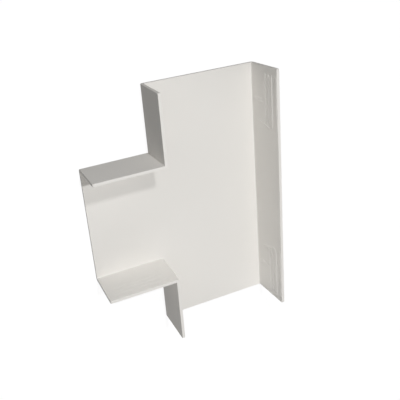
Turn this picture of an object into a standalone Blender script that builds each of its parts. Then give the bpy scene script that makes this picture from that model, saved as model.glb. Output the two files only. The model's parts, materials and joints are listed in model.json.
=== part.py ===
"""Flat tee cover for 100 x 40 mm cable trunking, moulded in one piece.

A tee-shaped face plate carries five upright side walls. The two ends of the
main run and the end of the branch are open. The part lies on its face with
the open side up: +Y runs along the main run, the branch leaves towards -X,
and +Z points from the face to the free edges of the walls. The origin is at
the middle of the bounding box, on the face.
"""

import math

import bmesh
import bpy
from mathutils import Matrix, Vector

# ---------------------------------------------------------------- dimensions
RUN_WIDTH = 0.1060      # main run across the face, over both walls
RUN_LENGTH = 0.2270     # main run along the face
ARM_LENGTH = 0.0600     # from an open end of the run to the branch
BRANCH_LENGTH = 0.0610  # from the run's side to the branch's open end
DEPTH = 0.0420          # face to free edge
WALL = 0.0026           # plate and wall thickness
LEAN = 0.0015           # mould draft: outward lean of walls and ends over DEPTH
FACE_RADIUS = 0.0025    # long outer edges between face and walls
RIM_BREAK = 0.0003      # broken outer edges of the rims and the open ends
FREE_CORNER = 0.0015    # free corners of the walls at the open ends
ROOT_RADIUS = 0.0009    # inner fillet where the walls meet the plate
OVERRUN = 0.0120        # how far the hollow is cut past each open end

GRIP_START = 0.0055     # open end to the outer end of the grip barbs
GRIP_LENGTH = 0.0540    # open end to the inner end of the grip barbs
EDGE_CREST = 0.0340     # face to the crests of the three barbs
UPPER_CREST = 0.0294
LOWER_CREST = 0.0247
BARB_RISE = 0.00064     # crest height of the barbs over the wall
BRANCH_GRIP = 0.26      # the branch's barbs as a share of the run's
RIB_FROM_END = 0.0303   # open end to the short rib's middle
SUNK = 0.0004           # how deep a ridge's foot reaches into the wall
SKIRT = 0.00005         # how deep its slopes go on below the wall's surface

BRANCH_WIDTH = RUN_LENGTH - 2 * ARM_LENGTH
MID_X = (RUN_WIDTH - BRANCH_LENGTH) / 2
MID_Y = RUN_LENGTH / 2


# ------------------------------------------------------------------- helpers
def clear_scene():
    for obj in list(bpy.data.objects):
        bpy.data.objects.remove(obj, do_unlink=True)
    for group in list(bpy.data.collections):
        bpy.data.collections.remove(group)


def new_collection(name):
    group = bpy.data.collections.new(name)
    bpy.context.scene.collection.children.link(group)
    return group


def plastic():
    """Warm off-white rigid PVC with a fine satin surface."""
    mat = bpy.data.materials.new("white_pvc")
    mat.use_nodes = True
    bsdf = mat.node_tree.nodes["Principled BSDF"]
    bsdf.inputs["Base Color"].default_value = (0.86, 0.845, 0.81, 1.0)
    bsdf.inputs["Roughness"].default_value = 0.42
    bsdf.inputs["Metallic"].default_value = 0.0
    return mat


def solid_from_curve(curve_obj, group):
    """Swap a curve for a welded mesh object of the same shape."""
    bpy.context.view_layer.update()
    graph = bpy.context.evaluated_depsgraph_get()
    mesh = bpy.data.meshes.new_from_object(curve_obj.evaluated_get(graph))
    bm = bmesh.new()
    bm.from_mesh(mesh)
    bmesh.ops.remove_doubles(bm, verts=bm.verts, dist=0.00001)
    bmesh.ops.dissolve_limit(
        bm, angle_limit=math.radians(0.5), verts=bm.verts, edges=bm.edges
    )
    bmesh.ops.recalc_face_normals(bm, faces=bm.faces)
    bm.to_mesh(mesh)
    bm.free()
    name = curve_obj.name
    matrix = curve_obj.matrix_world.copy()
    bpy.data.objects.remove(curve_obj, do_unlink=True)
    mesh.name = name
    obj = bpy.data.objects.new(name, mesh)
    obj.matrix_world = matrix
    group.objects.link(obj)
    return obj


def poly_curve(name, points, cyclic):
    """Flat polyline through (x, y) or (x, y, scale) points."""
    curve = bpy.data.curves.new(name, "CURVE")
    curve.dimensions = "2D"
    spline = curve.splines.new("POLY")
    spline.points.add(len(points) - 1)
    for slot, point in zip(spline.points, points):
        slot.co = (point[0], point[1], 0.0, 1.0)
        slot.radius = point[2] if len(point) > 2 else 1.0
    spline.use_cyclic_u = cyclic
    return curve


def tee_outline(side, end):
    """Corners of the tee, its side faces moved out by side, its ends by end."""
    w, l, b, a = RUN_WIDTH, RUN_LENGTH, BRANCH_LENGTH, ARM_LENGTH
    corners = [
        (0 - side, 0 - end),
        (w + side, 0 - end),
        (w + side, l + end),
        (0 - side, l + end),
        (0 - side, l - a + side),
        (-b - end, l - a + side),
        (-b - end, a - side),
        (0 - side, a - side),
    ]
    return [(x - MID_X, y - MID_Y) for x, y in corners]


OPEN_END_SIDES = (0, 2, 5)     # outline edges that are open ends
INNER_CORNERS = (4, 7)         # outline corners where branch and run meet, left square


def drafted_tee(name, group, low, high, z_low, z_high):
    """Tee-shaped block whose outline changes evenly from low to high."""
    curve = poly_curve(name, low, True)
    curve.fill_mode = "BOTH"
    curve.extrude = (z_high - z_low) / 2
    blank = bpy.data.objects.new(name, curve)
    group.objects.link(blank)
    obj = solid_from_curve(blank, group)
    for vert in obj.data.vertices:
        top = vert.co.z > 0
        corner = min(
            range(len(low)),
            key=lambda k: (vert.co.x - low[k][0]) ** 2 + (vert.co.y - low[k][1]) ** 2,
        )
        x, y = (high if top else low)[corner]
        vert.co = (x, y, z_high if top else z_low)
    return obj


def edge_ends(mesh, edge, outline, z):
    """Outline corners that an edge at height z joins, or None."""
    found = []
    for index in edge.vertices:
        co = mesh.vertices[index].co
        if abs(co.z - z) > 1e-6:
            return None
        for k, (x, y) in enumerate(outline):
            if abs(co.x - x) < 1e-6 and abs(co.y - y) < 1e-6:
                found.append(k)
    if len(found) != 2:
        return None
    low, high = sorted(found)
    return high if (low, high) == (0, len(outline) - 1) else low


def upright_corner(mesh, edge, low, high):
    """Outline corner that an upright edge stands on, or None."""
    a, b = (mesh.vertices[i].co for i in edge.vertices)
    if a.z > b.z:
        a, b = b, a
    for k, (x, y) in enumerate(low):
        if (a - Vector((x, y, a.z))).length < 1e-6:
            if (b - Vector((high[k][0], high[k][1], b.z))).length < 1e-6:
                return k if b.z - a.z > 1e-4 else None
    return None


def round_edges(obj, largest, segments, radius_of):
    """Round each edge by the radius that radius_of gives it."""
    mesh = obj.data
    layer = mesh.attributes.new("bevel_weight_edge", "FLOAT", "EDGE")
    for edge in mesh.edges:
        layer.data[edge.index].value = min(1.0, radius_of(mesh, edge) / largest)
    bevel = obj.modifiers.new("rounding", "BEVEL")
    bevel.limit_method = "WEIGHT"
    bevel.offset_type = "OFFSET"
    bevel.width = largest
    bevel.segments = segments
    bevel.profile = 0.5
    bevel.use_clamp_overlap = False
    bevel.miter_outer = "MITER_SHARP"
    return bevel


def cut(obj, tool, label):
    mod = obj.modifiers.new(label, "BOOLEAN")
    mod.operation = "DIFFERENCE"
    mod.solver = "EXACT"
    mod.object = tool


def as_cutter(obj):
    obj.hide_render = True
    obj.display_type = "WIRE"


# ------------------------------------------------------------- grip details
def barb_section(rise, lead, ramp):
    """Low barb: short slope on its left, longer slope on its right."""
    skirt = 1 + SKIRT / rise
    left, right = lead * skirt, ramp * skirt
    return [
        (-right, -SUNK),
        (left, -SUNK),
        (left, -SKIRT),
        (lead * 0.14, rise * 0.92),
        (0.0, rise),
        (-ramp * 0.10, rise * 0.95),
        (-right, -SKIRT),
    ]


def swell_section(rise, length):
    """Long low swelling below the free edge, on its left a quick way back."""
    left = 0.0005 * (1 + SKIRT / rise)
    right = length * (1 + 0.6 * SKIRT / rise)
    return [
        (-right, -SUNK),
        (left, -SUNK),
        (left, -SKIRT),
        (0.0, rise),
        (-length * 0.52, rise * 0.80),
        (-right, -SKIRT),
    ]


def rib_section(rise, half):
    """Low rounded section, the same on both sides."""
    crown = [half * k / 5 for k in (6, 4, 2, 0, -2, -4, -6)]
    curve = [(x, rise * (1 - (x / half) ** 2)) for x in crown]
    return [(-half * 1.5, -SUNK), (half * 1.5, -SUNK)] + curve


def wall_frames():
    """Frames on the inner wall faces, one at each open end of a wall.

    u runs from the open end inwards, v up the leaning wall and h out of it.
    """
    tilt = math.atan2(LEAN, DEPTH)
    sin, cos = math.sin(tilt), math.cos(tilt)
    w, l, b, a, t = RUN_WIDTH, RUN_LENGTH, BRANCH_LENGTH, ARM_LENGTH, WALL
    spots = {
        "run_top_right": ((w - t, l), (0, -1), (1, 0)),
        "run_bottom_right": ((w - t, 0), (0, 1), (1, 0)),
        "run_top_left": ((t, l), (0, -1), (-1, 0)),
        "run_bottom_left": ((t, 0), (0, 1), (-1, 0)),
        "branch_upper": ((-b, l - a - t), (1, 0), (0, 1)),
        "branch_lower": ((-b, a + t), (1, 0), (0, -1)),
    }
    frames = {}
    for name, (foot, along, outward) in spots.items():
        u = Vector((along[0], along[1], 0))
        v = Vector((outward[0] * sin, outward[1] * sin, cos))
        h = Vector((-outward[0] * cos, -outward[1] * cos, sin))
        frame = Matrix((u, v, h)).transposed().to_4x4()
        frame.translation = (foot[0] - MID_X, foot[1] - MID_Y, 0)
        frames[name] = frame
    return frames


def swept_ridge(name, group, path, section, frame):
    """Ridge with the given section, swept along a path drawn on a wall.

    The section's positive side ends up on the left of the path.
    """
    mirrored = [(-x, y) for x, y in reversed(section)]
    section_curve = poly_curve(name + "_section", mirrored, True)
    section_curve.fill_mode = "NONE"
    section_obj = bpy.data.objects.new(name + "_section", section_curve)
    group.objects.link(section_obj)
    curve = poly_curve(name, path, False)
    curve.bevel_mode = "OBJECT"
    curve.bevel_object = section_obj
    curve.use_fill_caps = True
    path_obj = bpy.data.objects.new(name, curve)
    group.objects.link(path_obj)
    obj = solid_from_curve(path_obj, group)
    bpy.data.objects.remove(section_obj, do_unlink=True)
    bm = bmesh.new()
    bm.from_mesh(obj.data)
    bmesh.ops.transform(bm, matrix=frame, verts=bm.verts)
    bmesh.ops.recalc_face_normals(bm, faces=bm.faces)
    bm.to_mesh(obj.data)
    bm.free()
    as_cutter(obj)
    return obj


def turned_corner(centre, radius, start, stop, steps):
    """Points of an arc, in degrees, as (u, v)."""
    return [
        (
            centre[0] + radius * math.cos(math.radians(start + (stop - start) * i / steps)),
            centre[1] + radius * math.sin(math.radians(start + (stop - start) * i / steps)),
        )
        for i in range(steps + 1)
    ]


def tapered(points, start, stop):
    """The same path with its first and last points let down into the wall."""
    full = [(u, v, 1.0) for u, v in points]
    (u0, v0), (u1, v1) = points[0], points[-1]
    return [(u0 - start, v0, 0.25)] + full + [(u1 + stop, v1, 0.25)]


def grip_paths(share):
    """Paths on a wall: (name, points with scale, section).

    Three barbs run along the arm, the outermost turning down at its inner end,
    and the wall swells a little towards the free edge.
    Share scales how far all of them stand out of the wall.
    """
    rise = BARB_RISE * share
    first = GRIP_START + 0.0012
    turn = 0.0040
    edge_line = tapered([(first, EDGE_CREST), (GRIP_LENGTH - turn, EDGE_CREST)], 0.0012, 0.0)
    edge_line.pop()
    bend = [
        (u, v, 1.0 - 0.10 * i)
        for i, (u, v) in enumerate(
            turned_corner((GRIP_LENGTH - turn, EDGE_CREST - turn), turn, 74, 4, 5)
        )
    ]
    leg = [
        (GRIP_LENGTH - 0.0001, EDGE_CREST - 0.0030, 0.40),
        (GRIP_LENGTH - 0.0005, EDGE_CREST - 0.0044, 0.90),
        (GRIP_LENGTH - 0.0032, 0.0200, 0.80),
        (GRIP_LENGTH - 0.0047, 0.0135, 0.60),
        (GRIP_LENGTH - 0.0049, 0.0125, 0.20),
    ]
    upper = tapered(
        [
            (first, UPPER_CREST),
            (0.036, UPPER_CREST - 0.0002),
            (0.044, UPPER_CREST - 0.0010),
            (GRIP_LENGTH - 0.0032, UPPER_CREST - 0.0026),
        ],
        0.0012,
        0.0010,
    )
    lower = tapered(
        [
            (first, LOWER_CREST),
            (0.038, LOWER_CREST - 0.0002),
            (0.046, LOWER_CREST - 0.0010),
            (GRIP_LENGTH - 0.0040, LOWER_CREST - 0.0022),
        ],
        0.0012,
        0.0010,
    )
    brow = DEPTH - 0.0010
    swell = tapered([(first, brow), (GRIP_LENGTH - 0.0012, brow)], 0.0016, 0.0012)
    rib = [
        (RIB_FROM_END, 0.0060, 0.35),
        (RIB_FROM_END, 0.0075, 0.85),
        (RIB_FROM_END, 0.0100, 1.0),
        (RIB_FROM_END, 0.0165, 1.0),
        (RIB_FROM_END, 0.0190, 0.85),
        (RIB_FROM_END, 0.0203, 0.35),
    ]
    return [
        ("edge_barb", edge_line + bend, barb_section(rise, 0.0015, 0.0026)),
        ("leg", leg, barb_section(rise, 0.0026, 0.0012)),
        ("upper_barb", upper, barb_section(rise * 0.85, 0.0011, 0.0026)),
        ("lower_barb", lower, barb_section(rise * 0.85, 0.0011, 0.0026)),
        ("swell", swell, swell_section(rise * 0.52, 0.0052)),
        ("rib", rib, rib_section(0.00055 * share, 0.0021)),
    ]


def corner_bars(group):
    """Bars that round the walls' free corners, one along each open end's rim."""
    r = FREE_CORNER
    out = 0.0010
    arc = turned_corner((r, -r), r, 176, 86, 6)
    section = [(-out, arc[0][1] - 0.0001), (-out, out), (r + out, out)]
    section += [(r + out, arc[-1][1] + 0.0001)] + arc[::-1]
    spots = {
        "corner_run_top": ((MID_X - BRANCH_LENGTH / 2, MID_Y + LEAN), (0, -1)),
        "corner_run_bottom": ((MID_X - BRANCH_LENGTH / 2, -MID_Y - LEAN), (0, 1)),
        "corner_branch": ((-BRANCH_LENGTH - LEAN - MID_X, 0.0), (1, 0)),
    }
    bars = []
    for name, (place, inward) in spots.items():
        curve = poly_curve(name, section, True)
        curve.fill_mode = "BOTH"
        curve.extrude = MID_Y
        blank = bpy.data.objects.new(name, curve)
        x = Vector((inward[0], inward[1], 0))
        y = Vector((0, 0, 1))
        frame = Matrix((x, y, x.cross(y))).transposed().to_4x4()
        frame.translation = (place[0], place[1], DEPTH)
        group.objects.link(blank)
        blank.matrix_world = frame
        bar = solid_from_curve(blank, group)
        as_cutter(bar)
        bars.append(bar)
    return bars


# --------------------------------------------------------------------- model
def build():
    clear_scene()
    parts = new_collection("trunking_tee_cover")
    cutters = new_collection("cutters")

    # Outer block: the tee, widening from the face to the rims.
    face_line = tee_outline(0.0, 0.0)
    rim_line = tee_outline(LEAN, LEAN)
    cover = drafted_tee("tee_cover", parts, face_line, rim_line, 0.0, DEPTH)

    def outer_radius(mesh, edge):
        side = edge_ends(mesh, edge, face_line, 0.0)
        if side is not None:
            return RIM_BREAK if side in OPEN_END_SIDES else FACE_RADIUS
        if edge_ends(mesh, edge, rim_line, DEPTH) is not None:
            return RIM_BREAK
        corner = upright_corner(mesh, edge, face_line, rim_line)
        if corner is not None and corner not in INNER_CORNERS:
            return RIM_BREAK
        return 0.0

    round_edges(cover, FACE_RADIUS, 5, outer_radius)

    # Hollow: the same tee inside the walls, run out past the open ends.
    top = DEPTH + OVERRUN
    floor_line = tee_outline(LEAN * WALL / DEPTH - WALL, OVERRUN)
    open_line = tee_outline(LEAN * top / DEPTH - WALL, OVERRUN)
    hollow = drafted_tee("hollow", cutters, floor_line, open_line, WALL, top)

    def inner_radius(mesh, edge):
        side = edge_ends(mesh, edge, floor_line, WALL)
        return 0.0 if side is None or side in OPEN_END_SIDES else ROOT_RADIUS

    round_edges(hollow, ROOT_RADIUS, 3, inner_radius)
    as_cutter(hollow)

    # Grip barbs and short ribs stand on the walls: the hollow leaves them.
    for place, frame in wall_frames().items():
        share = BRANCH_GRIP if place.startswith("branch") else 1.0
        for kind, path, section in grip_paths(share):
            name = "%s_%s" % (place, kind)
            ridge = swept_ridge(name, cutters, path, section, frame)
            cut(hollow, ridge, name)

    cut(cover, hollow, "hollow")
    for bar in corner_bars(cutters):
        cut(cover, bar, bar.name)
    cover.data.materials.append(plastic())
    cover.data.shade_smooth()
    cover.data.set_sharp_from_angle(angle=math.radians(32))


build()
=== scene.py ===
"""Looks for the trunking tee cover: finer surfaces, material, floor, light, camera."""

import json
import math

import bmesh
import bpy
from mathutils import Matrix, Vector

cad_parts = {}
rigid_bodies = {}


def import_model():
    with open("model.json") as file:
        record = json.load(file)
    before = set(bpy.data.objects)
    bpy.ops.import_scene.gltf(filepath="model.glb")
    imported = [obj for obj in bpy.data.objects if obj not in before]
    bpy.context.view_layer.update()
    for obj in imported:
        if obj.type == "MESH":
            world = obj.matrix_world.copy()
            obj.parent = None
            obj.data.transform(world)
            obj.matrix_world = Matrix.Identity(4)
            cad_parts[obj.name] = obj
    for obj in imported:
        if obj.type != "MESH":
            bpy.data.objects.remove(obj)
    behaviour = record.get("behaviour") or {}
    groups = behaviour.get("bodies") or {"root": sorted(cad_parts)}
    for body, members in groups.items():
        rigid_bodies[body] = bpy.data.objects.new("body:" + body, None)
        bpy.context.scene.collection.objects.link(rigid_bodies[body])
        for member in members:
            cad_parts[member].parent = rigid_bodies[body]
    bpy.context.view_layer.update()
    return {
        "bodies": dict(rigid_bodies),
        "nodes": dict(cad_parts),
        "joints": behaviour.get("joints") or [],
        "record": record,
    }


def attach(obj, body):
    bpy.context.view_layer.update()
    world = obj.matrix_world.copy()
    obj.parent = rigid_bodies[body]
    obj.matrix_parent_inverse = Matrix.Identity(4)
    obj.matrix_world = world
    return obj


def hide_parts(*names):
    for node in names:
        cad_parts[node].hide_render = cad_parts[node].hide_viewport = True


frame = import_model()
scene = bpy.context.scene
scene.view_settings.view_transform = "Standard"
scene.view_settings.look = "None"

# ------------------------------------------------------------------- camera
EYE = Vector((-0.20403, 0.25696, 0.50365))
AIM = Vector((0.02315, -0.00452, 0.0))
UP = Vector((0.24867, 0.90096, -0.35559))
LENS = 60.05


def add_camera():
    data = bpy.data.cameras.new("camera")
    data.lens = LENS
    data.sensor_width = 36.0
    data.clip_start = 0.02
    data.clip_end = 40.0
    cam = bpy.data.objects.new("camera", data)
    back = (EYE - AIM).normalized()
    right = UP.cross(back).normalized()
    up = back.cross(right)
    matrix = Matrix((right, up, back)).transposed().to_4x4()
    matrix.translation = EYE
    cam.matrix_world = matrix
    scene.collection.objects.link(cam)
    scene.camera = cam


# ------------------------------------------------------------------- nodes
def node(tree, kind, **values):
    made = tree.nodes.new(kind)
    for key, value in values.items():
        if key in made.inputs:
            made.inputs[key].default_value = value
        else:
            setattr(made, key, value)
    return made


# ---------------------------------------------------------------- materials
def pvc_material():
    """Satin off-white rigid PVC, moulded, with a very fine grain."""
    mat = bpy.data.materials.new("pvc_moulded")
    mat.use_nodes = True
    tree = mat.node_tree
    bsdf = tree.nodes["Principled BSDF"]
    place = node(tree, "ShaderNodeTexCoord")

    # Slow drift of tone across the moulding.
    drift = node(tree, "ShaderNodeTexNoise")
    drift.inputs["Scale"].default_value = 14.0
    drift.inputs["Detail"].default_value = 2.0
    tone = node(tree, "ShaderNodeMix", data_type="RGBA")
    tone.inputs["A"].default_value = (0.868, 0.850, 0.814, 1.0)
    tone.inputs["B"].default_value = (0.883, 0.865, 0.832, 1.0)
    tree.links.new(place.outputs["Object"], drift.inputs["Vector"])
    tree.links.new(drift.outputs["Fac"], tone.inputs["Factor"])
    tree.links.new(tone.outputs["Result"], bsdf.inputs["Base Color"])

    # Gloss varies a little with the polish of the mould.
    polish = node(tree, "ShaderNodeTexNoise")
    polish.inputs["Scale"].default_value = 60.0
    polish.inputs["Detail"].default_value = 4.0
    rough = node(tree, "ShaderNodeMapRange")
    rough.inputs["To Min"].default_value = 0.38
    rough.inputs["To Max"].default_value = 0.50
    tree.links.new(place.outputs["Object"], polish.inputs["Vector"])
    tree.links.new(polish.outputs["Fac"], rough.inputs["Value"])
    tree.links.new(rough.outputs["Result"], bsdf.inputs["Roughness"])

    # Fine grain, a fifth of a millimetre across.
    grain = node(tree, "ShaderNodeTexNoise")
    grain.inputs["Scale"].default_value = 4200.0
    grain.inputs["Detail"].default_value = 2.0
    bump = node(tree, "ShaderNodeBump")
    bump.inputs["Strength"].default_value = 0.12
    bump.inputs["Distance"].default_value = 0.00002
    tree.links.new(place.outputs["Object"], grain.inputs["Vector"])
    tree.links.new(grain.outputs["Fac"], bump.inputs["Height"])
    tree.links.new(bump.outputs["Normal"], bsdf.inputs["Normal"])
    bsdf.inputs["Specular IOR Level"].default_value = 0.45
    return mat


def floor_material():
    """White table, almost shadowless."""
    mat = bpy.data.materials.new("floor_white")
    mat.use_nodes = True
    bsdf = mat.node_tree.nodes["Principled BSDF"]
    bsdf.inputs["Base Color"].default_value = (0.12, 0.12, 0.12, 1.0)
    bsdf.inputs["Roughness"].default_value = 1.0
    bsdf.inputs["Specular IOR Level"].default_value = 0.0
    bsdf.inputs["Emission Color"].default_value = (1.0, 1.0, 1.0, 1.0)
    bsdf.inputs["Emission Strength"].default_value = 0.92
    return mat


# ---------------------------------------------------------------- dimensions
RUN_WIDTH = 0.1060      # main run across the face, over both walls
RUN_LENGTH = 0.2270     # main run along the face
ARM_LENGTH = 0.0600     # from an open end of the run to the branch
BRANCH_LENGTH = 0.0610  # from the run's side to the branch's open end
DEPTH = 0.0420          # face to free edge
WALL = 0.0026           # plate and wall thickness
LEAN = 0.0015           # mould draft: outward lean of walls and ends over DEPTH
FACE_RADIUS = 0.0025    # long outer edges between face and walls
RIM_BREAK = 0.0003      # broken outer edges of the rims and the open ends
FREE_CORNER = 0.0015    # free corners of the walls at the open ends
ROOT_RADIUS = 0.0009    # inner fillet where the walls meet the plate
OVERRUN = 0.0120        # how far the hollow is cut past each open end

GRIP_START = 0.0055     # open end to the outer end of the grip barbs
GRIP_LENGTH = 0.0540    # open end to the inner end of the grip barbs
EDGE_CREST = 0.0340     # face to the crests of the three barbs
UPPER_CREST = 0.0294
LOWER_CREST = 0.0247
BARB_RISE = 0.00064     # crest height of the barbs over the wall
BRANCH_GRIP = 0.26      # the branch's barbs as a share of the run's
RIB_FROM_END = 0.0303   # open end to the short rib's middle
SUNK = 0.0004           # how deep a ridge's foot reaches into the wall
SKIRT = 0.00005         # how deep its slopes go on below the wall's surface

BRANCH_WIDTH = RUN_LENGTH - 2 * ARM_LENGTH
MID_X = (RUN_WIDTH - BRANCH_LENGTH) / 2
MID_Y = RUN_LENGTH / 2


# ------------------------------------------------------------------- helpers
def new_collection(name):
    group = bpy.data.collections.new(name)
    bpy.context.scene.collection.children.link(group)
    return group


def solid_from_curve(curve_obj, group):
    """Swap a curve for a welded mesh object of the same shape."""
    bpy.context.view_layer.update()
    graph = bpy.context.evaluated_depsgraph_get()
    mesh = bpy.data.meshes.new_from_object(curve_obj.evaluated_get(graph))
    bm = bmesh.new()
    bm.from_mesh(mesh)
    bmesh.ops.remove_doubles(bm, verts=bm.verts, dist=0.00001)
    bmesh.ops.dissolve_limit(
        bm, angle_limit=math.radians(0.5), verts=bm.verts, edges=bm.edges
    )
    bmesh.ops.recalc_face_normals(bm, faces=bm.faces)
    bm.to_mesh(mesh)
    bm.free()
    name = curve_obj.name
    matrix = curve_obj.matrix_world.copy()
    bpy.data.objects.remove(curve_obj, do_unlink=True)
    mesh.name = name
    obj = bpy.data.objects.new(name, mesh)
    obj.matrix_world = matrix
    group.objects.link(obj)
    return obj


def poly_curve(name, points, cyclic):
    """Flat polyline through (x, y) or (x, y, scale) points."""
    curve = bpy.data.curves.new(name, "CURVE")
    curve.dimensions = "2D"
    spline = curve.splines.new("POLY")
    spline.points.add(len(points) - 1)
    for slot, point in zip(spline.points, points):
        slot.co = (point[0], point[1], 0.0, 1.0)
        slot.radius = point[2] if len(point) > 2 else 1.0
    spline.use_cyclic_u = cyclic
    return curve


def tee_outline(side, end):
    """Corners of the tee, its side faces moved out by side, its ends by end."""
    w, l, b, a = RUN_WIDTH, RUN_LENGTH, BRANCH_LENGTH, ARM_LENGTH
    corners = [
        (0 - side, 0 - end),
        (w + side, 0 - end),
        (w + side, l + end),
        (0 - side, l + end),
        (0 - side, l - a + side),
        (-b - end, l - a + side),
        (-b - end, a - side),
        (0 - side, a - side),
    ]
    return [(x - MID_X, y - MID_Y) for x, y in corners]


OPEN_END_SIDES = (0, 2, 5)     # outline edges that are open ends


def drafted_tee(name, group, low, high, z_low, z_high):
    """Tee-shaped block whose outline changes evenly from low to high."""
    curve = poly_curve(name, low, True)
    curve.fill_mode = "BOTH"
    curve.extrude = (z_high - z_low) / 2
    blank = bpy.data.objects.new(name, curve)
    group.objects.link(blank)
    obj = solid_from_curve(blank, group)
    for vert in obj.data.vertices:
        top = vert.co.z > 0
        corner = min(
            range(len(low)),
            key=lambda k: (vert.co.x - low[k][0]) ** 2 + (vert.co.y - low[k][1]) ** 2,
        )
        x, y = (high if top else low)[corner]
        vert.co = (x, y, z_high if top else z_low)
    return obj


def edge_ends(mesh, edge, outline, z):
    """Outline corners that an edge at height z joins, or None."""
    found = []
    for index in edge.vertices:
        co = mesh.vertices[index].co
        if abs(co.z - z) > 1e-6:
            return None
        for k, (x, y) in enumerate(outline):
            if abs(co.x - x) < 1e-6 and abs(co.y - y) < 1e-6:
                found.append(k)
    if len(found) != 2:
        return None
    low, high = sorted(found)
    return high if (low, high) == (0, len(outline) - 1) else low


def round_edges(obj, largest, segments, radius_of):
    """Round each edge by the radius that radius_of gives it."""
    mesh = obj.data
    layer = mesh.attributes.new("bevel_weight_edge", "FLOAT", "EDGE")
    for edge in mesh.edges:
        layer.data[edge.index].value = min(1.0, radius_of(mesh, edge) / largest)
    bevel = obj.modifiers.new("rounding", "BEVEL")
    bevel.limit_method = "WEIGHT"
    bevel.offset_type = "OFFSET"
    bevel.width = largest
    bevel.segments = segments
    bevel.profile = 0.5
    bevel.use_clamp_overlap = False
    bevel.miter_outer = "MITER_SHARP"
    return bevel


def cut(obj, tool, label):
    mod = obj.modifiers.new(label, "BOOLEAN")
    mod.operation = "DIFFERENCE"
    mod.solver = "EXACT"
    mod.object = tool


def as_cutter(obj):
    obj.hide_render = True
    obj.display_type = "WIRE"


# ------------------------------------------------------------- grip details
def barb_section(rise, lead, ramp):
    """Low barb: short slope on its left, longer slope on its right."""
    skirt = 1 + SKIRT / rise
    left, right = lead * skirt, ramp * skirt
    return [
        (-right, -SUNK),
        (left, -SUNK),
        (left, -SKIRT),
        (lead * 0.14, rise * 0.92),
        (0.0, rise),
        (-ramp * 0.10, rise * 0.95),
        (-right, -SKIRT),
    ]


def swell_section(rise, length):
    """Long low swelling below the free edge, on its left a quick way back."""
    left = 0.0005 * (1 + SKIRT / rise)
    right = length * (1 + 0.6 * SKIRT / rise)
    return [
        (-right, -SUNK),
        (left, -SUNK),
        (left, -SKIRT),
        (0.0, rise),
        (-length * 0.52, rise * 0.80),
        (-right, -SKIRT),
    ]


def rib_section(rise, half):
    """Low rounded section, the same on both sides."""
    crown = [half * k / 5 for k in (6, 4, 2, 0, -2, -4, -6)]
    curve = [(x, rise * (1 - (x / half) ** 2)) for x in crown]
    return [(-half * 1.5, -SUNK), (half * 1.5, -SUNK)] + curve


def wall_frames():
    """Frames on the inner wall faces, one at each open end of a wall.

    u runs from the open end inwards, v up the leaning wall and h out of it.
    """
    tilt = math.atan2(LEAN, DEPTH)
    sin, cos = math.sin(tilt), math.cos(tilt)
    w, l, b, a, t = RUN_WIDTH, RUN_LENGTH, BRANCH_LENGTH, ARM_LENGTH, WALL
    spots = {
        "run_top_right": ((w - t, l), (0, -1), (1, 0)),
        "run_bottom_right": ((w - t, 0), (0, 1), (1, 0)),
        "run_top_left": ((t, l), (0, -1), (-1, 0)),
        "run_bottom_left": ((t, 0), (0, 1), (-1, 0)),
        "branch_upper": ((-b, l - a - t), (1, 0), (0, 1)),
        "branch_lower": ((-b, a + t), (1, 0), (0, -1)),
    }
    frames = {}
    for name, (foot, along, outward) in spots.items():
        u = Vector((along[0], along[1], 0))
        v = Vector((outward[0] * sin, outward[1] * sin, cos))
        h = Vector((-outward[0] * cos, -outward[1] * cos, sin))
        frame = Matrix((u, v, h)).transposed().to_4x4()
        frame.translation = (foot[0] - MID_X, foot[1] - MID_Y, 0)
        frames[name] = frame
    return frames


def swept_ridge(name, group, path, section, frame):
    """Ridge with the given section, swept along a path drawn on a wall.

    The section's positive side ends up on the left of the path.
    """
    mirrored = [(-x, y) for x, y in reversed(section)]
    section_curve = poly_curve(name + "_section", mirrored, True)
    section_curve.fill_mode = "NONE"
    section_obj = bpy.data.objects.new(name + "_section", section_curve)
    group.objects.link(section_obj)
    curve = poly_curve(name, path, False)
    curve.bevel_mode = "OBJECT"
    curve.bevel_object = section_obj
    curve.use_fill_caps = True
    path_obj = bpy.data.objects.new(name, curve)
    group.objects.link(path_obj)
    obj = solid_from_curve(path_obj, group)
    bpy.data.objects.remove(section_obj, do_unlink=True)
    bm = bmesh.new()
    bm.from_mesh(obj.data)
    bmesh.ops.transform(bm, matrix=frame, verts=bm.verts)
    bmesh.ops.recalc_face_normals(bm, faces=bm.faces)
    bm.to_mesh(obj.data)
    bm.free()
    as_cutter(obj)
    return obj


def turned_corner(centre, radius, start, stop, steps):
    """Points of an arc, in degrees, as (u, v)."""
    return [
        (
            centre[0] + radius * math.cos(math.radians(start + (stop - start) * i / steps)),
            centre[1] + radius * math.sin(math.radians(start + (stop - start) * i / steps)),
        )
        for i in range(steps + 1)
    ]


def tapered(points, start, stop):
    """The same path with its first and last points let down into the wall."""
    full = [(u, v, 1.0) for u, v in points]
    (u0, v0), (u1, v1) = points[0], points[-1]
    return [(u0 - start, v0, 0.25)] + full + [(u1 + stop, v1, 0.25)]


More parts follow.
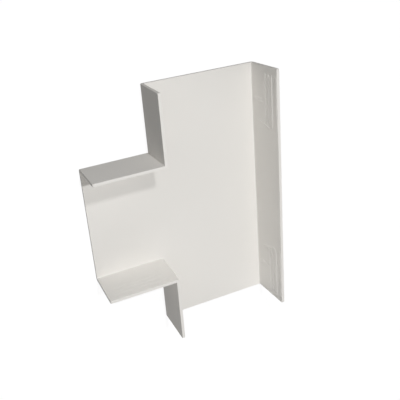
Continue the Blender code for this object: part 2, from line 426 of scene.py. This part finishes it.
def grip_paths(share):
    """Paths on a wall: (name, points with scale, section).

    Three barbs run along the arm, the outermost turning down at its inner end,
    and the wall swells a little towards the free edge.
    Share scales how far all of them stand out of the wall.
    """
    rise = BARB_RISE * share
    first = GRIP_START + 0.0012
    turn = 0.0040
    edge_line = tapered([(first, EDGE_CREST), (GRIP_LENGTH - turn, EDGE_CREST)], 0.0012, 0.0)
    edge_line.pop()
    bend = [
        (u, v, 1.0 - 0.10 * i)
        for i, (u, v) in enumerate(
            turned_corner((GRIP_LENGTH - turn, EDGE_CREST - turn), turn, 74, 4, 5)
        )
    ]
    leg = [
        (GRIP_LENGTH - 0.0001, EDGE_CREST - 0.0030, 0.40),
        (GRIP_LENGTH - 0.0005, EDGE_CREST - 0.0044, 0.90),
        (GRIP_LENGTH - 0.0032, 0.0200, 0.80),
        (GRIP_LENGTH - 0.0047, 0.0135, 0.60),
        (GRIP_LENGTH - 0.0049, 0.0125, 0.20),
    ]
    upper = tapered(
        [
            (first, UPPER_CREST),
            (0.036, UPPER_CREST - 0.0002),
            (0.044, UPPER_CREST - 0.0010),
            (GRIP_LENGTH - 0.0032, UPPER_CREST - 0.0026),
        ],
        0.0012,
        0.0010,
    )
    lower = tapered(
        [
            (first, LOWER_CREST),
            (0.038, LOWER_CREST - 0.0002),
            (0.046, LOWER_CREST - 0.0010),
            (GRIP_LENGTH - 0.0040, LOWER_CREST - 0.0022),
        ],
        0.0012,
        0.0010,
    )
    brow = DEPTH - 0.0010
    swell = tapered([(first, brow), (GRIP_LENGTH - 0.0012, brow)], 0.0016, 0.0012)
    rib = [
        (RIB_FROM_END, 0.0060, 0.35),
        (RIB_FROM_END, 0.0075, 0.85),
        (RIB_FROM_END, 0.0100, 1.0),
        (RIB_FROM_END, 0.0165, 1.0),
        (RIB_FROM_END, 0.0190, 0.85),
        (RIB_FROM_END, 0.0203, 0.35),
    ]
    return [
        ("edge_barb", edge_line + bend, barb_section(rise, 0.0015, 0.0026)),
        ("leg", leg, barb_section(rise, 0.0026, 0.0012)),
        ("upper_barb", upper, barb_section(rise * 0.85, 0.0011, 0.0026)),
        ("lower_barb", lower, barb_section(rise * 0.85, 0.0011, 0.0026)),
        ("swell", swell, swell_section(rise * 0.52, 0.0052)),
        ("rib", rib, rib_section(0.00055 * share, 0.0021)),
    ]


def corner_bars(group):
    """Bars that round the walls' free corners, one along each open end's rim."""
    r = FREE_CORNER
    out = 0.0010
    arc = turned_corner((r, -r), r, 176, 86, 6)
    section = [(-out, arc[0][1] - 0.0001), (-out, out), (r + out, out)]
    section += [(r + out, arc[-1][1] + 0.0001)] + arc[::-1]
    spots = {
        "corner_run_top": ((MID_X - BRANCH_LENGTH / 2, MID_Y + LEAN), (0, -1)),
        "corner_run_bottom": ((MID_X - BRANCH_LENGTH / 2, -MID_Y - LEAN), (0, 1)),
        "corner_branch": ((-BRANCH_LENGTH - LEAN - MID_X, 0.0), (1, 0)),
    }
    bars = []
    for name, (place, inward) in spots.items():
        curve = poly_curve(name, section, True)
        curve.fill_mode = "BOTH"
        curve.extrude = MID_Y
        blank = bpy.data.objects.new(name, curve)
        x = Vector((inward[0], inward[1], 0))
        y = Vector((0, 0, 1))
        frame = Matrix((x, y, x.cross(y))).transposed().to_4x4()
        frame.translation = (place[0], place[1], DEPTH)
        group.objects.link(blank)
        blank.matrix_world = frame
        bar = solid_from_curve(blank, group)
        as_cutter(bar)
        bars.append(bar)
    return bars


# ------------------------------------------------------------ finer surfaces
def baked(obj):
    """The object's mesh with all its modifiers carried out."""
    bpy.context.view_layer.update()
    graph = bpy.context.evaluated_depsgraph_get()
    return bpy.data.meshes.new_from_object(obj.evaluated_get(graph))


def on_real_corner(edge):
    """Whether an edge is a square corner of a rim, an open end or a wall."""
    if len(edge.link_faces) != 2 or not edge.is_convex:
        return False
    if edge.calc_face_angle(0.0) < math.radians(84):
        return False
    a, b = (vert.co for vert in edge.verts)
    middle = (a + b) / 2
    if min(a.z, b.z) > DEPTH - 0.00001:
        return True
    if abs(middle.y) > MID_Y - 0.0002 or middle.x < -BRANCH_LENGTH - MID_X + 0.0002:
        return True
    inside = abs(middle.x + MID_X - WALL) < 0.002
    return inside and abs(abs(middle.y) - (MID_Y - ARM_LENGTH - WALL)) < 0.002


def fine_cover(group):
    """The cover again, with finer roundings and all its corners softened."""
    face_line = tee_outline(0.0, 0.0)
    rim_line = tee_outline(LEAN, LEAN)
    cover = drafted_tee("cover_skin", group, face_line, rim_line, 0.0, DEPTH)
    cover.data.materials.append(bpy.data.materials.new("wall_mark"))

    def outer_radius(mesh, edge):
        side = edge_ends(mesh, edge, face_line, 0.0)
        return 0.0 if side is None or side in OPEN_END_SIDES else FACE_RADIUS

    round_edges(cover, FACE_RADIUS, 10, outer_radius)

    top = DEPTH + OVERRUN
    floor_line = tee_outline(LEAN * WALL / DEPTH - WALL, OVERRUN)
    open_line = tee_outline(LEAN * top / DEPTH - WALL, OVERRUN)
    hollow = drafted_tee("skin_hollow", group, floor_line, open_line, WALL, top)

    def inner_radius(mesh, edge):
        side = edge_ends(mesh, edge, floor_line, WALL)
        return 0.0 if side is None or side in OPEN_END_SIDES else ROOT_RADIUS

    round_edges(hollow, ROOT_RADIUS, 8, inner_radius)
    ridge_mark = bpy.data.materials.new("ridge_mark")
    helpers = [hollow]
    for place, frame in wall_frames().items():
        share = BRANCH_GRIP if place.startswith("branch") else 1.0
        for kind, path, section in grip_paths(share):
            name = "%s_%s" % (place, kind)
            ridge = swept_ridge(name, group, path, section, frame)
            ridge.data.materials.append(ridge_mark)
            cut(hollow, ridge, name)
            hollow.modifiers[-1].material_mode = "TRANSFER"
            helpers.append(ridge)
    cut(cover, hollow, "hollow")
    cover.modifiers[-1].material_mode = "TRANSFER"
    for bar in corner_bars(group):
        cut(cover, bar, bar.name)
        helpers.append(bar)

    skin = bpy.data.objects.new("cover_skin", baked(cover))
    group.objects.link(skin)
    for helper in helpers + [cover]:
        bpy.data.objects.remove(helper, do_unlink=True)

    # Soften the square corners by the same small radius everywhere.
    bm = bmesh.new()
    bm.from_mesh(skin.data)
    bmesh.ops.remove_doubles(bm, verts=bm.verts, dist=0.000001)
    floats = bm.edges.layers.float
    layer = floats.get("bevel_weight_edge") or floats.new("bevel_weight_edge")
    for edge in bm.edges:
        edge[layer] = 1.0 if on_real_corner(edge) else 0.0
    bm.to_mesh(skin.data)
    bm.free()
    soft = skin.modifiers.new("soft", "BEVEL")
    soft.limit_method = "WEIGHT"
    soft.width = RIM_BREAK
    soft.segments = 4
    soft.use_clamp_overlap = False
    mesh = baked(skin)
    skin.modifiers.clear()

    # Smooth curves, sharp lines only at corners and at the feet of the barbs.
    marks = [slot.name if slot else "" for slot in mesh.materials]
    marked = marks.index("ridge_mark") if "ridge_mark" in marks else -1
    bm = bmesh.new()
    bm.from_mesh(mesh)
    bm.normal_update()
    for face in bm.faces:
        face.smooth = True
    for edge in bm.edges:
        ridge_faces = sum(face.material_index == marked for face in edge.link_faces)
        limit = (40.0, 3.0, 6.0)[min(ridge_faces, 2)]
        edge.smooth = edge.calc_face_angle(0.0) < math.radians(limit)
    for face in bm.faces:
        face.material_index = 0
    bmesh.ops.triangulate(bm, faces=bm.faces)
    bm.to_mesh(mesh)
    bm.free()
    mesh.materials.clear()
    mesh.name = "cover_skin"
    skin.data = mesh
    even = skin.modifiers.new("even", "WEIGHTED_NORMAL")
    even.keep_sharp = True
    even.weight = 100
    return skin


# -------------------------------------------------------------------- stage
def add_floor():
    """Flat round floor that rises far away into a plain backdrop."""
    mesh = bpy.data.meshes.new("floor")
    bm = bmesh.new()
    profile = [(0.0, 0.0), (4.0, 0.0)]
    for i in range(1, 13):
        a = math.radians(90 * i / 12)
        profile.append((4.0 + 4.0 * math.sin(a), 4.0 - 4.0 * math.cos(a)))
    profile += [(7.0, 8.0), (4.0, 10.0), (0.0, 11.0)]
    verts = [bm.verts.new((r, 0.0, z)) for r, z in profile]
    edges = [bm.edges.new(pair) for pair in zip(verts, verts[1:])]
    bmesh.ops.spin(
        bm, geom=verts + edges, cent=(0, 0, 0), axis=(0, 0, 1),
        angle=math.tau, steps=48, use_duplicate=False,
    )
    bmesh.ops.remove_doubles(bm, verts=bm.verts, dist=0.0001)
    bm.to_mesh(mesh)
    bm.free()
    floor = bpy.data.objects.new("floor", mesh)
    floor.location.z = -0.0002
    mesh.materials.append(floor_material())
    scene.collection.objects.link(floor)
    floor.visible_diffuse = False
    floor.visible_glossy = False
    floor.visible_shadow = False
    floor.visible_transmission = False


# -------------------------------------------------------------------- light
# Soft patches of the room: direction, how tightly it is gathered, strength.
ROOM = [
    ((-0.5, 0.0, 1.0), 8.0, 0.292),
    ((0.0, -1.0, 0.55), 6.0, 0.349),
    ((0.70711, -0.70711, 0.55), 6.0, 0.783),
    ((-0.70711, 0.70711, 0.55), 6.0, 0.625),
    ((-0.4, -1.0, 0.1), 8.0, 0.435),
    ((0.0, -1.0, -0.5), 3.0, 0.972),
    ((0.0, 1.0, -0.5), 3.0, 0.402),
]


def add_world():
    """Room of soft white patches, brightest behind the run's lower end."""
    world = bpy.data.worlds.new("room")
    world.use_nodes = True
    tree = world.node_tree
    back = tree.nodes["Background"]
    back.inputs["Color"].default_value = (1.0, 0.988, 0.972, 1.0)
    where = node(tree, "ShaderNodeTexCoord")
    total = None
    for direction, gather, strength in ROOM:
        facing = node(tree, "ShaderNodeVectorMath", operation="DOT_PRODUCT")
        facing.inputs[1].default_value = Vector(direction).normalized()
        tree.links.new(where.outputs["Generated"], facing.inputs[0])
        front = node(tree, "ShaderNodeMath", operation="MAXIMUM")
        front.inputs[1].default_value = 0.0
        tree.links.new(facing.outputs["Value"], front.inputs[0])
        lobe = node(tree, "ShaderNodeMath", operation="POWER")
        lobe.inputs[1].default_value = gather
        tree.links.new(front.outputs["Value"], lobe.inputs[0])
        add = node(tree, "ShaderNodeMath", operation="MULTIPLY_ADD")
        add.inputs[1].default_value = strength
        add.inputs[2].default_value = 0.0
        tree.links.new(lobe.outputs["Value"], add.inputs[0])
        if total is not None:
            tree.links.new(total, add.inputs[2])
        total = add.outputs["Value"]
    tree.links.new(total, back.inputs["Strength"])
    scene.world = world


def add_sun(name, direction, strength, angle):
    data = bpy.data.lights.new(name, "SUN")
    data.energy = strength
    data.angle = angle
    sun = bpy.data.objects.new(name, data)
    sun.rotation_mode = "QUATERNION"
    sun.rotation_quaternion = Vector(direction).to_track_quat("Z", "Y")
    scene.collection.objects.link(sun)


def add_spot(name, place, target, cone, radius, power):
    """Lamp with a soft-edged cone, so that its light fades across the cover."""
    data = bpy.data.lights.new(name, "SPOT")
    data.spot_size = cone
    data.spot_blend = 1.0
    data.shadow_soft_size = radius
    data.energy = power
    lamp = bpy.data.objects.new(name, data)
    lamp.location = place
    lamp.rotation_mode = "QUATERNION"
    lamp.rotation_quaternion = (Vector(place) - Vector(target)).to_track_quat("Z", "Y")
    scene.collection.objects.link(lamp)


add_camera()
add_floor()
add_world()
add_sun("key", (0.0, 0.36, 1.0), 1.18, 0.04)
add_spot("fill", (-0.047, 0.446, 0.530), (-0.02, -0.45, 0.02), 1.5708, 0.025, 4.73)
add_spot("low", (-0.10, -0.24, 0.06), (0.083, -0.103, 0.018), 0.28, 0.02, 0.197)

skin = fine_cover(new_collection("fine"))
skin.data.materials.append(pvc_material())
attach(skin, "root")
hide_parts("tee_cover")
